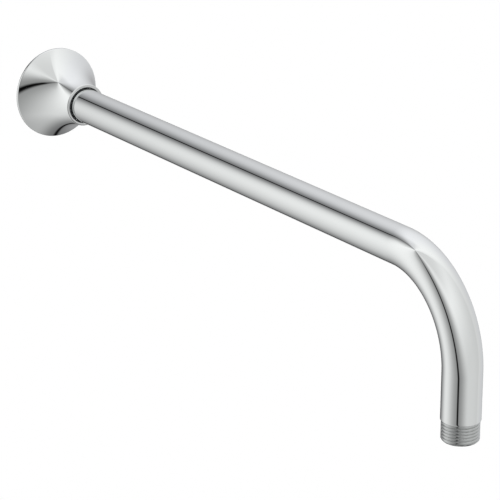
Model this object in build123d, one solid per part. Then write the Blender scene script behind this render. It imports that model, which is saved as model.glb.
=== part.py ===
from build123d import *
import math
import os

# A wall shower arm: a bent tube with a threaded nipple brazed into each end, and a
# trumpet-shaped wall flange that slides on the tube and is gripped by a rubber ring.
# The origin is the middle of the flange's wall face, on the tube's axis. The arm runs
# out from the wall along -Y and turns down, so its outlet points along -Z.

# The arm as a whole
projection = 427.0          # wall face to the axis of the drop leg
drop = 93.0                 # axis of the straight run down to the outlet end
bend_radius = 54.0          # of the tube's axis

# The tube
tube_diameter = 22.0
tube_wall = 1.5
tube_end_break = 0.25       # the turned end's broken outer edge

# The threaded nipples, each with a spigot brazed inside the tube
thread_diameter = 20.955    # over the crests of a half-inch parallel pipe thread
thread_chamfer = 0.9
nipple_bore = 14.5
bore_chamfer = 0.6
spigot_length = 9.0
braze_gap = 0.05            # radial room for the braze between spigot and tube
outlet_thread_length = 11.8
inlet_thread_length = 18.0
inlet_stub = 15.0           # how far the inlet thread reaches behind the wall face

# The wall flange: a thin bell with a solid collar and a rounded lip round its mouth
flange_diameter = 59.5
flange_depth = 39.5         # wall face to the front of the lip
flange_wall = 1.5
bell_radius = 75.0          # of the hollow arc from rim to lip
rim_land = 1.4              # height of the plain edge round the rim
neck_diameter = 27.2        # where the bell's arc would meet its front face
lip_round = 0.9
mouth_gap = 0.85            # radial gap seen round the tube at the mouth
mouth_round = 0.4
collar_length = 7.0         # solid ring behind the front of the lip
collar_clearance = 0.3      # radial, between the collar's bore and the tube
collar_lead_in = 0.5

# The rubber ring in its groove inside the collar
ring_section = 1.5
ring_clearance = 0.05       # radial, between ring and tube
groove_depth_spare = 0.1    # radial, behind the ring
groove_width = 2.0
groove_setback = 1.5        # front of the lip to the front of the groove

tube_radius = tube_diameter / 2
tube_bore_radius = tube_radius - tube_wall
thread_radius = thread_diameter / 2
tube_start = inlet_stub - inlet_thread_length
tube_end = -(drop - outlet_thread_length)


def arm_tube():
    """The tube, bent once: a straight run, a quarter turn and a short drop leg."""
    bend_start = (0, -(projection - bend_radius), 0)
    bend_end = (0, -projection, -bend_radius)
    bend_centre_z = -bend_radius
    bend_middle = (
        0,
        bend_start[1] - bend_radius * math.sin(math.pi / 4),
        bend_centre_z + bend_radius * math.cos(math.pi / 4),
    )
    with BuildPart() as tube:
        with BuildLine() as axis:
            Line((0, tube_start, 0), bend_start)
            ThreePointArc(bend_start, bend_middle, bend_end)
            Line(bend_end, (0, -projection, tube_end))
        with BuildSketch(Plane(origin=(0, tube_start, 0), z_dir=(0, -1, 0))):
            Circle(tube_radius)
            Circle(tube_bore_radius, mode=Mode.SUBTRACT)
        sweep(path=axis.line)
        ends = tube.faces().filter_by(GeomType.PLANE)
        rims = [end.outer_wire().edge() for end in ends]
        chamfer(rims, tube_end_break)
    return tube.part


def nipple(thread_length):
    """A turned nipple, standing on +Z: the spigot below zero, the thread above."""
    spigot_radius = tube_bore_radius - braze_gap
    bore_radius = nipple_bore / 2
    with BuildPart() as turned:
        with BuildSketch(Plane.XZ):
            Polygon(
                (bore_radius, -spigot_length),
                (spigot_radius, -spigot_length),
                (spigot_radius, 0),
                (thread_radius, 0),
                (thread_radius, thread_length - thread_chamfer),
                (thread_radius - thread_chamfer, thread_length),
                (bore_radius + bore_chamfer, thread_length),
                (bore_radius, thread_length - bore_chamfer),
                align=None,
            )
        revolve(axis=Axis.Z)
    return turned.part


def inlet_nipple():
    return Pos(0, tube_start, 0) * Rot(-90, 0, 0) * nipple(inlet_thread_length)


def outlet_nipple():
    return Pos(0, -projection, tube_end) * Rot(180, 0, 0) * nipple(outlet_thread_length)


def wall_flange():
    """The bell, drawn as a half section with x = radius and y = -(depth from the wall)."""
    rim_radius = flange_diameter / 2
    mouth_radius = tube_radius + mouth_gap
    collar_bore_radius = tube_radius + collar_clearance
    groove_radius = tube_radius + ring_clearance + ring_section + groove_depth_spare
    rim = Vector(rim_radius, -rim_land)
    neck = Vector(neck_diameter / 2, -flange_depth)

    # the bell's outside and inside are arcs about one point in front of the flange
    chord = neck - rim
    across = Vector(-chord.Y, chord.X).normalized()
    if across.X < 0:
        across = -across
    reach = math.sqrt(bell_radius**2 - (chord.length / 2) ** 2)
    bell_centre = (rim + neck) * 0.5 + across * reach

    # the lip's round runs out of the bell's arc and into the flat front face
    lean = math.asin((lip_round - flange_depth - bell_centre.Y) / (bell_radius + lip_round))
    to_lip = Vector(-math.cos(lean), math.sin(lean))
    lip_centre = bell_centre + to_lip * (bell_radius + lip_round)
    lip_back = bell_centre + to_lip * bell_radius
    lip_front = lip_centre - Vector(0, lip_round)
    lip_middle = lip_centre + ((lip_back + lip_front) * 0.5 - lip_centre).normalized() * lip_round
    mouth_front = Vector(mouth_radius + mouth_round, -flange_depth)
    mouth_back = Vector(mouth_radius, mouth_round - flange_depth)
    corner = Vector(mouth_front.X, mouth_back.Y)
    mouth_middle = corner - Vector(math.sqrt(0.5), math.sqrt(0.5)) * mouth_round
    inner_radius = bell_radius + flange_wall

    def inside(depth):
        level = -depth
        out = math.sqrt(inner_radius**2 - (level - bell_centre.Y) ** 2)
        return Vector(bell_centre.X - out, level)

    def midway(start, end, radius):
        middle = (start + end) * 0.5
        return bell_centre + (middle - bell_centre).normalized() * radius

    collar_back = flange_depth - collar_length
    groove_front = flange_depth - groove_setback
    groove_back = groove_front + -groove_width
    inner_rim = inside(0)
    inner_neck = inside(collar_back)
    with BuildPart() as flange:
        with BuildSketch(Plane.XY):
            with BuildLine():
                Line(inner_rim, (rim_radius, 0))
                Line((rim_radius, 0), rim)
                ThreePointArc(rim, midway(rim, lip_back, bell_radius), lip_back)
                ThreePointArc(lip_back, lip_middle, lip_front)
                Line(lip_front, mouth_front)
                ThreePointArc(mouth_front, mouth_middle, mouth_back)
                Polyline(
                    mouth_back,
                    (mouth_radius, -groove_front),
                    (groove_radius, -groove_front),
                    (groove_radius, -groove_back),
                    (collar_bore_radius, -groove_back),
                    (collar_bore_radius, -(collar_back + collar_lead_in)),
                    (collar_bore_radius + collar_lead_in, -collar_back),
                    inner_neck,
                )
                ThreePointArc(inner_neck, midway(inner_neck, inner_rim, inner_radius), inner_rim)
            make_face()
        revolve(axis=Axis.Y)
    return flange.part


def flange_o_ring():
    """The rubber ring, lying against the front of its groove."""
    centre_radius = tube_radius + ring_clearance + ring_section / 2
    depth = flange_depth - groove_setback - ring_section / 2
    with BuildPart() as ring:
        with BuildSketch(Plane.XY):
            with Locations((centre_radius, -depth)):
                Circle(ring_section / 2)
        revolve(axis=Axis.Y)
    return ring.part


pieces = {
    "arm_tube": arm_tube(),
    "inlet_nipple": inlet_nipple(),
    "outlet_nipple": outlet_nipple(),
    "wall_flange": wall_flange(),
    "flange_o_ring": flange_o_ring(),
}

os.makedirs("parts", exist_ok=True)
for name, piece in pieces.items():
    export_step(piece, f"parts/{name}.step")
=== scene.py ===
# A wall shower arm in polished chrome, dressed for the photograph: bent tube, two
# threaded nipples, trumpet-shaped wall flange and its rubber ring, in a white studio.

import math

import bmesh
import bpy
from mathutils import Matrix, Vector


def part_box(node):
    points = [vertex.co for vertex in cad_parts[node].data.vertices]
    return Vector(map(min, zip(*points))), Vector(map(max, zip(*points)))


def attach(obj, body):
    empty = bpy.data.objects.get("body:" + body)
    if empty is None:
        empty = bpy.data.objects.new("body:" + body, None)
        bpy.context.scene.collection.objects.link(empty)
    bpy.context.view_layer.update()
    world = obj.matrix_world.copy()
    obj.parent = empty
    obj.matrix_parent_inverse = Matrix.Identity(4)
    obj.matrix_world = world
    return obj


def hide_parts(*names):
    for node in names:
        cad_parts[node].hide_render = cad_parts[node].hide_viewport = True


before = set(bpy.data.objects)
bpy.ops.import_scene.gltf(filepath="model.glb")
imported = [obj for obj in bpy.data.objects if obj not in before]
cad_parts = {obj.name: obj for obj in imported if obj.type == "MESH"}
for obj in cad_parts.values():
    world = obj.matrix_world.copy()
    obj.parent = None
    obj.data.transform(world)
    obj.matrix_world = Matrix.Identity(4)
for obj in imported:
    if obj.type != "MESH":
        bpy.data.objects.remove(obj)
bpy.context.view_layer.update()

# The arm's tube: 22 mm brass pipe drawn, cut and bent once on a mandrel, then polished
# and chrome-plated outside. Its bore stays bare brass. The nipples are brazed into its
# two ends, whose outer edges are broken so that they don't cut.

mm = 0.001
bend_radius = 54 * mm
tube_wall = 1.5 * mm
end_break = 0.25 * mm
hold = 1.0 * mm             # a ring this near a change of form keeps the run beside it true
bend_steps = 120
tube_sides = 192
edge_turns = (0, 22, 45, 68, 90)

tube_low, tube_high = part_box("arm_tube")
tube_radius = tube_high.x
projection = -tube_low.y - tube_radius
tube_start = tube_high.y
tube_end = tube_low.z
bend_start = -(projection - bend_radius)

side = Vector((1, 0, 0))
out = Vector((0, -1, 0))
upward = Vector((0, 0, 1))


def metal(name, colour, roughness, spread, grain, ripple, ripple_grain):
    """A plated or bare metal whose polish drifts a little and whose skin ripples a little.

    The roughness drifts by its spread either way. A higher grain makes the patches, or
    the ripples, smaller.
    """
    tone_spread = 0.015
    ripple_height = 0.1 * mm
    finish = bpy.data.materials.new(name)
    finish.use_nodes = True
    nodes, links = finish.node_tree.nodes, finish.node_tree.links
    shader = nodes["Principled BSDF"]
    shader.inputs["Metallic"].default_value = 1.0
    place = nodes.new("ShaderNodeTexCoord")
    drift = nodes.new("ShaderNodeTexNoise")
    drift.inputs["Scale"].default_value = grain
    drift.inputs["Detail"].default_value = 4
    links.new(place.outputs["Object"], drift.inputs["Vector"])
    tone = nodes.new("ShaderNodeMix")
    tone.data_type = "RGBA"
    tone.inputs["A"].default_value = (*[part * (1 - tone_spread) for part in colour], 1)
    tone.inputs["B"].default_value = (*[part * (1 + tone_spread) for part in colour], 1)
    links.new(drift.outputs["Fac"], tone.inputs["Factor"])
    links.new(tone.outputs["Result"], shader.inputs["Base Color"])
    polish = nodes.new("ShaderNodeMapRange")
    polish.inputs["From Min"].default_value = 0.3
    polish.inputs["From Max"].default_value = 0.7
    polish.inputs["To Min"].default_value = roughness - spread
    polish.inputs["To Max"].default_value = roughness + spread
    links.new(drift.outputs["Fac"], polish.inputs["Value"])
    links.new(polish.outputs["Result"], shader.inputs["Roughness"])
    waves = nodes.new("ShaderNodeTexNoise")
    waves.inputs["Scale"].default_value = ripple_grain
    waves.inputs["Detail"].default_value = 2
    links.new(place.outputs["Object"], waves.inputs["Vector"])
    bump = nodes.new("ShaderNodeBump")
    bump.inputs["Strength"].default_value = ripple
    bump.inputs["Distance"].default_value = ripple_height
    links.new(waves.outputs["Fac"], bump.inputs["Height"])
    links.new(bump.outputs["Normal"], shader.inputs["Normal"])
    return finish


def skin(name, rings, sides, finishes, sharp):
    """A closed surface through rings of (centre, across, up, radius, finish number).

    The last ring meets the first, and edges bent by more than sharp degrees stay crisp.
    """
    points, faces, numbers = [], [], []
    for centre, across, up, radius, _ in rings:
        for step in range(sides):
            turn = math.tau * step / sides
            reach = radius(turn) if callable(radius) else radius
            points.append(centre + (across * math.cos(turn) + up * math.sin(turn)) * reach)
    for number, ring in enumerate(rings):
        after = (number + 1) % len(rings)
        for step in range(sides):
            beside = (step + 1) % sides
            faces.append((number * sides + step, number * sides + beside,
                          after * sides + beside, after * sides + step))
            numbers.append(ring[4])
    mesh = bpy.data.meshes.new(name)
    mesh.from_pydata(points, [], faces)
    for finish in finishes:
        mesh.materials.append(finish)
    mesh.polygons.foreach_set("material_index", numbers)
    shell = bmesh.new()
    shell.from_mesh(mesh)
    bmesh.ops.recalc_face_normals(shell, faces=shell.faces)
    for face in shell.faces:
        face.smooth = True
    for edge in shell.edges:
        edge.smooth = edge.calc_face_angle(0) < math.radians(sharp)
    shell.to_mesh(mesh)
    shell.free()
    piece = bpy.data.objects.new(name, mesh)
    bpy.context.scene.collection.objects.link(piece)
    return piece


def round_off(radius, turns):
    """How far a rounded edge has drawn in and gone along, at each of its angles."""
    angles = [math.radians(turn) for turn in turns]
    return [(radius * (1 - math.sin(angle)), radius * (1 - math.cos(angle)))
            for angle in angles]


def tube_rings():
    """The tube's rings: outside from the wall end to the outlet, and back through the bore."""
    first, last = Vector((0, tube_start, 0)), Vector((0, -projection, tube_end))
    stations = [(first + out * hold, upward),
                (Vector((0, bend_start + hold, 0)), upward)]
    for step in range(bend_steps + 1):
        turn = math.pi / 2 * step / bend_steps
        lean = out * math.sin(turn) + upward * math.cos(turn)
        stations.append((Vector((0, bend_start, -bend_radius)) + lean * bend_radius, lean))
    stations += [(Vector((0, -projection, -bend_radius - hold)), out),
                 (last + upward * hold, out)]
    edge = round_off(end_break, edge_turns)
    bore = tube_radius - tube_wall
    rings = [(first + out * along, side, upward, tube_radius - inset, 0)
             for inset, along in edge]
    rings += [(centre, side, up, tube_radius, 0) for centre, up in stations]
    rings += [(last + upward * along, side, out, tube_radius - inset, 0)
              for inset, along in reversed(edge)]
    rings.append((last, side, out, bore, 1))
    rings += [(centre, side, up, bore, 1) for centre, up in reversed(stations)]
    rings.append((first, side, upward, bore, 0))
    return rings


polished_chrome = metal("polished_chrome", (0.88, 0.9, 0.894), roughness=0.03, spread=0.01,
                        grain=40, ripple=0.02, ripple_grain=260)
bare_brass = metal("bare_brass", (0.62, 0.43, 0.17), roughness=0.34, spread=0.06,
                   grain=160, ripple=0.25, ripple_grain=900)
arm_tube = skin("chromed_tube", tube_rings(), tube_sides, [polished_chrome, bare_brass],
                sharp=32)
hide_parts("arm_tube")
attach(arm_tube, "arm")

# The two nipples: turned from brass bar, with a half-inch parallel pipe thread cut on
# the outside and a spigot that is brazed into the tube. The thread is plated with the
# arm but can't be polished, so it stays greyer than the tube.

pitch = 25.4 / 14 * mm
thread_depth = 0.6 * mm
crest_share = 0.5           # of the pitch, left flat by the plating and the die
root_share = 0.1
run_out = 0.1 * pitch       # the thread fades in from the shoulder
thread_chamfer = 0.9 * mm
spigot_radius = 9.45 * mm
bore_radius = 7.25 * mm
bore_chamfer = 0.6 * mm
thread_rows = 20            # per pitch
thread_sides = 160


def groove_share(phase):
    """How deep the thread is cut, 0 at the crest and 1 at the root, at a phase in turns."""
    from_crest = abs(phase - round(phase))
    along = (from_crest - crest_share / 2) / (0.5 - root_share / 2 - crest_share / 2)
    along = min(max(along, 0), 1)
    return along * along * (3 - 2 * along)


def nipple(name, node, shoulder, away, thread_length, spigot_length):
    """One nipple, with its shoulder on the tube's end and its thread pointing away."""
    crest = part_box(node)[1].x
    up = away.cross(side)

    def ring(distance, radius, finish=0):
        return (shoulder + away * distance, side, up, radius, finish)

    def thread_ring(distance):
        def radius(turn):
            cut = thread_depth * groove_share(distance / pitch - turn / math.tau)
            cone = crest - thread_chamfer + (thread_length - distance)
            return min(crest - cut * min(distance / run_out, 1), cone)
        return ring(distance, radius)

    rows = round(thread_length / pitch * thread_rows)
    rings = [thread_ring(thread_length * row / rows) for row in range(rows + 1)]
    rings += [
        ring(thread_length, bore_radius + bore_chamfer),
        ring(thread_length - bore_chamfer, bore_radius, 1),
        ring(hold - spigot_length, bore_radius, 1),
        ring(-spigot_length, bore_radius, 1),
        ring(-spigot_length, spigot_radius, 1),
        ring(0, spigot_radius),
    ]
    piece = skin(name, rings, thread_sides, [thread_chrome, bare_brass], sharp=50)
    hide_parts(node)
    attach(piece, "arm")


thread_chrome = metal("thread_chrome", (0.62, 0.635, 0.63), roughness=0.18, spread=0.05,
                      grain=300, ripple=0.1, ripple_grain=1500)
inlet_low, inlet_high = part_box("inlet_nipple")
outlet_low, outlet_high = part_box("outlet_nipple")
nipple("threaded_inlet", "inlet_nipple", Vector((0, tube_start, 0)), -out,
       inlet_high.y - tube_start, tube_start - inlet_low.y)
nipple("threaded_outlet", "outlet_nipple", Vector((0, -projection, tube_end)), -upward,
       tube_end - outlet_low.z, outlet_high.z - tube_end)

# The wall flange: a trumpet-shaped bell turned in brass, 1.5 mm thick, with a rounded
# lip round its mouth and a solid collar behind it. It slides on the tube. It is plated,
# polished outside, a little less on the lip's front edge, and left dull inside. The lip's
# front edge and the mouth's round are also given a darker colour as painted shade where
# the mouth meets the tube.

bell_radius = 75 * mm
bell_wall = 1.5 * mm
rim_land = 1.8 * mm
rim_break = 0.5 * mm
rim_round = 1.2 * mm
neck_radius = 13.6 * mm
lip_round = 0.9 * mm
edge_turn = 45              # degrees round the lip at which its duller front edge, with its painted shade, begins
mouth_round = 0.4 * mm
mouth_gap = 0.85 * mm
collar_length = 7.0 * mm
collar_clearance = 0.3 * mm
collar_lead_in = 0.5 * mm
groove_radius = 12.65 * mm
groove_width = 2.0 * mm
groove_setback = 1.5 * mm
bell_steps = 90
bell_start = 0.1            # degrees along the bell from the end of the rim's round
break_steps = 4
rim_steps = 6
lip_steps = 8
mouth_steps = 16
flange_sides = 288

flange_low, flange_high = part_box("wall_flange")
rim_radius = flange_high.x
flange_depth = -flange_low.y


def turned_arc(centre, radius, start, end, steps):
    """Points of an arc in the half section, between two angles in degrees."""
    turns = [math.radians(start + (end - start) * step / steps) for step in range(steps + 1)]
    return [(centre[0] + radius * math.cos(turn), centre[1] + radius * math.sin(turn))
            for turn in turns]


def flange_section():
    """The half section as (radius, depth, finish number) points, round from the wall face."""
    rim = Vector((rim_radius, rim_land))
    neck = Vector((neck_radius, flange_depth))
    chord = neck - rim
    across = Vector((chord.y, -chord.x)).normalized()
    reach = math.sqrt(bell_radius**2 - (chord.length / 2) ** 2)
    bell = (rim + neck) / 2 + across * reach
    rim_slope = math.degrees(math.asin((bell.y - rim_land) / bell_radius))
    lip_slope = math.degrees(math.asin((bell.y - flange_depth + lip_round)
                                       / (bell_radius + lip_round)))
    corner = rim_round * math.tan(math.radians(rim_slope) / 2)
    lip_centre = (bell.x - (bell_radius + lip_round) * math.cos(math.radians(lip_slope)),
                  flange_depth - lip_round)
    mouth = tube_radius + mouth_gap
    outside = turned_arc((rim_radius - rim_break, rim_break), rim_break, -90, 0, break_steps)
    outside += [(rim_radius, rim_land / 2)]
    outside += turned_arc((rim_radius - rim_round, rim_land - corner), rim_round,
                          0, rim_slope, rim_steps)
    first = rim_slope - math.degrees(corner / bell_radius) - bell_start
    outside += turned_arc(bell, -bell_radius, first, lip_slope, bell_steps)
    outside += turned_arc(lip_centre, lip_round, lip_slope, edge_turn, lip_steps)[1:-1]
    edge = turned_arc(lip_centre, lip_round, edge_turn, 90, lip_steps)
    edge += turned_arc((mouth + mouth_round, flange_depth - mouth_round), mouth_round,
                       90, 180, mouth_steps)
    collar_back = flange_depth - collar_length
    groove_front = flange_depth - groove_setback
    collar_bore = tube_radius + collar_clearance
    inside = [
        (mouth, groove_front),
        (groove_radius, groove_front),
        (groove_radius, groove_front - groove_width),
        (collar_bore, groove_front - groove_width),
        (collar_bore, collar_back + collar_lead_in),
        (collar_bore + collar_lead_in, collar_back),
    ]
    inner_radius = bell_radius + bell_wall
    inner_start, inner_end = (math.degrees(math.asin((bell.y - depth) / inner_radius))
                              for depth in (collar_back, 0))
    inside += turned_arc(bell, -inner_radius, inner_start, inner_end, bell_steps)
    return [(*point, finish) for finish, part in enumerate((outside, edge, inside))
            for point in part]


# The lip's front edge and the mouth's round: a rougher chrome for their real duller polish, and a
# darker colour as painted shade where the flange's mouth meets the tube.
edge_chrome_painted_shade = metal("edge_chrome_painted_shade", (0.71, 0.72, 0.72), roughness=0.1, spread=0.03,
                    grain=120, ripple=0.02, ripple_grain=700)
flange_inside = metal("flange_inside", (0.52, 0.53, 0.53), roughness=0.32, spread=0.06,
                      grain=120, ripple=0.2, ripple_grain=700)
wall_flange = skin("trumpet_flange",
                   [(out * depth, side, upward, radius, finish)
                    for radius, depth, finish in flange_section()],
                   flange_sides, [polished_chrome, edge_chrome_painted_shade, flange_inside], sharp=32)
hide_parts("wall_flange")
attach(wall_flange, "flange")

# The rubber ring: a round-section ring moulded in black rubber. It sits in the collar's
# groove, shows as the dark line round the tube and grips the tube.

rubber_colour = (0.08, 0.08, 0.086)
rubber_speckle = 2500
rubber_smoothest, rubber_roughest = 0.45, 0.65

ring_rubber = bpy.data.materials.new("ring_rubber")
ring_rubber.use_nodes = True
rubber_nodes, rubber_links = ring_rubber.node_tree.nodes, ring_rubber.node_tree.links
rubber = rubber_nodes["Principled BSDF"]
rubber.inputs["Base Color"].default_value = (*rubber_colour, 1)
rubber_place = rubber_nodes.new("ShaderNodeTexCoord")
rubber_grain = rubber_nodes.new("ShaderNodeTexNoise")
rubber_grain.inputs["Scale"].default_value = rubber_speckle
rubber_links.new(rubber_place.outputs["Object"], rubber_grain.inputs["Vector"])
rubber_sheen = rubber_nodes.new("ShaderNodeMapRange")
rubber_sheen.inputs["To Min"].default_value = rubber_smoothest
rubber_sheen.inputs["To Max"].default_value = rubber_roughest
rubber_links.new(rubber_grain.outputs["Fac"], rubber_sheen.inputs["Value"])
rubber_links.new(rubber_sheen.outputs["Result"], rubber.inputs["Roughness"])
o_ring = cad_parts["flange_o_ring"]
o_ring.data.materials.clear()
o_ring.data.materials.append(ring_rubber)

# The studio: a white room with a plain pale floor far below the arm. Its light falls off
# in soft sweeps round one point high behind the arm, past the straight edge of a card,
# and two narrow black flags and a few soft cards stand in it. Only mirrors show them.

floor_drop = 2.0
floor_size = 40.0
bpy.ops.mesh.primitive_plane_add(size=floor_size, location=(0, 0, -floor_drop))
floor = bpy.context.object
floor.name = "studio_floor"
floor_paint = bpy.data.materials.new("floor_paint")
floor_paint.use_nodes = True
floor_shader = floor_paint.node_tree.nodes["Principled BSDF"]
floor_shader.inputs["Base Color"].default_value = (1, 1, 1, 1)
floor_shader.inputs["Roughness"].default_value = 1.0
floor_shader.inputs["Specular IOR Level"].default_value = 0.0
floor.data.materials.append(floor_paint)
floor.visible_glossy = False

sweep_point = Vector((-0.440, 0.324, 0.838)).normalized()
card_edge = Vector((-0.724, 0.425, -0.544))
card_edge = (card_edge - sweep_point * card_edge.dot(sweep_point)).normalized()
card_square = sweep_point.cross(card_edge)
# soft sweeps: degrees on from the card's straight edge, the screen level there, and how
# much bluer the light is than white
sweeps = [
    (0, 232, 0), (13, 245, 0), (54, 237.5, 0.03), (118, 117, 0.03), (167, 245.5, 0),
    (238, 138, 0), (283, 243, 0), (306, 242, 0), (360, 234.5, 0),
]
# black flags: the degrees at which each lies, and how far its core and its blur reach
flags = [(117.4, 1.6, 5.0), (234.3, 2.0, 5.8)]
flag_light = 0.01


def all_round(strength):
    """A card's strength where it is the same all the way round."""
    return [(0, strength), (360, strength)]


# soft cards: middle, the cosines from there at which each is full and at which it ends,
# its screen level, and its strength at degrees on from the straight edge
haze = 0.356
behind_flags = [
    # the darker room opposite the sweep point, and the floor's shade below the arm
    (-sweep_point, 0.515, -1.0, 140, all_round(0.435)),
    (Vector((0.240, 0.031, -0.970)), 1.0, 0.543, 0, all_round(0.35)),
    # a grey card beside the sweep point
    (sweep_point, 0.962, 0.50, 211, [(250, 0), (306, 1)]),
    # two low dark cards, which give the arm its dark edges from its other sides
    (Vector((0.454, -0.121, -0.883)), 0.985, 0.927, 20, all_round(0.95)),
    (Vector((0.0, -0.574, -0.819)), 0.985, 0.927, 20, all_round(0.95)),
]
over_flags = [
    # haze close round the sweep point, in three parts of the turn
    (sweep_point, 0.995, 0.873, 155,
     [(15, 0), (38, haze), (160, haze), (168, 0), (192, 0), (204, haze), (266, haze), (280, 0)]),
]
chrome_returns = 0.9        # the share of the light that comes back from the chrome
studio = bpy.data.worlds.new("studio")
bpy.context.scene.world = studio
studio.use_nodes = True
nodes, links = studio.node_tree.nodes, studio.node_tree.links
nodes.clear()


def node(kind, **settings):
    """A new node of the studio's light, with its settings."""
    made = nodes.new(kind)
    for key, value in settings.items():
        setattr(made, key, value)
    return made


def lean_to(direction):
    """The cosine between a direction and the one that is looked in."""
    dot = node("ShaderNodeVectorMath", operation="DOT_PRODUCT")
    links.new(looking, dot.inputs[0])
    dot.inputs[1].default_value = direction
    return dot.outputs["Value"]


def sweep_ramp(stops, blend="LINEAR"):
    """A ramp along the degrees round the sweep point, from (degrees, light, blue) stops."""
    ramp = node("ShaderNodeValToRGB")
    ramp.color_ramp.interpolation = blend
    elements = ramp.color_ramp.elements
    for number, (degrees, light, *blue) in enumerate(stops):
        place = degrees / 360
        stop = elements[number] if number < 2 else elements.new(place)
        stop.position = place
        stop.color = (light, light, light * (1 + sum(blue)), 1)
    links.new(share.outputs[0], ramp.inputs["Fac"])
    return ramp.outputs["Color"]


def light_for(level):
    """The light that the chrome returns at a screen level."""
    return ((level / 255 + 0.055) / 1.055) ** 2.4 / chrome_returns


def blended(under, over, strength, blend="MIX"):
    """One light over another. Each of the three may be a node's output or a plain value."""
    blend_node = node("ShaderNodeMix", data_type="RGBA", blend_type=blend)
    for socket, value in (("Factor", strength), ("A", under), ("B", over)):
        if isinstance(value, bpy.types.NodeSocket):
            links.new(value, blend_node.inputs[socket])
        else:
            blend_node.inputs[socket].default_value = value
    return blend_node.outputs["Result"]


def with_cards(light, cards):
    """The light with soft cards before it, each full near its middle and gone far from it."""
    for middle, near, far, level, strengths in cards:
        reach = node("ShaderNodeMapRange", interpolation_type="SMOOTHSTEP")
        links.new(lean_to(middle), reach.inputs["Value"])
        reach.inputs["From Min"].default_value = far
        reach.inputs["From Max"].default_value = near
        strength = node("ShaderNodeMath", operation="MULTIPLY")
        links.new(reach.outputs["Result"], strength.inputs[0])
        links.new(sweep_ramp(strengths), strength.inputs[1])
        light = blended(light, (light_for(level),) * 3 + (1,), strength.outputs[0])
    return light


looking = node("ShaderNodeTexCoord").outputs["Generated"]
angle = node("ShaderNodeMath", operation="ARCTAN2")
links.new(lean_to(card_square), angle.inputs[0])
links.new(lean_to(card_edge), angle.inputs[1])
share = node("ShaderNodeMath", operation="MULTIPLY_ADD")
links.new(angle.outputs[0], share.inputs[0])
share.inputs[1].default_value = 1 / math.tau
share.inputs[2].default_value = 0.5
flag_stops = [(0, 1)]
for flag, core, blur in flags:
    flag_stops += [(flag - blur, 1), (flag - core, flag_light),
                   (flag + core, flag_light), (flag + blur, 1)]
swept = sweep_ramp([(degrees, light_for(level), blue) for degrees, level, blue in sweeps], "EASE")
flagged = blended(with_cards(swept, behind_flags), sweep_ramp(flag_stops), 1, "MULTIPLY")
lit = with_cards(flagged, over_flags)
shaped_light = node("ShaderNodeBackground")
links.new(lit, shaped_light.inputs["Color"])
white_room = node("ShaderNodeBackground")
white_room.inputs["Color"].default_value = (1, 1, 1, 1)
ray = node("ShaderNodeLightPath")
choose = node("ShaderNodeMixShader")
links.new(ray.outputs["Is Glossy Ray"], choose.inputs["Fac"])
links.new(white_room.outputs["Background"], choose.inputs[1])
links.new(shaped_light.outputs["Background"], choose.inputs[2])
links.new(choose.outputs["Shader"], node("ShaderNodeOutputWorld").inputs["Surface"])

# The camera, where the photograph was taken from: in front of the arm, to its left
# and above it, with a long lens.

camera_place = Vector((-0.70688, -1.26646, 0.40013))
view_azimuth = math.radians(-34.274)
view_elevation = math.radians(19.503)
focal_pixels = 2250.1
picture_pixels = 500
sensor_width = 36.0

lens = bpy.data.cameras.new("photo_lens")
lens.sensor_width = sensor_width
lens.lens = focal_pixels / picture_pixels * sensor_width
lens.clip_end = 100
camera = bpy.data.objects.new("photo_camera", lens)
camera.location = camera_place
looking_back = Vector((math.sin(view_azimuth) * math.cos(view_elevation),
                       -math.cos(view_azimuth) * math.cos(view_elevation),
                       math.sin(view_elevation)))
camera.rotation_mode = "QUATERNION"
camera.rotation_quaternion = (-looking_back).to_track_quat("-Z", "Y")
bpy.context.scene.collection.objects.link(camera)
bpy.context.scene.camera = camera
bpy.context.scene.view_settings.view_transform = "Standard"
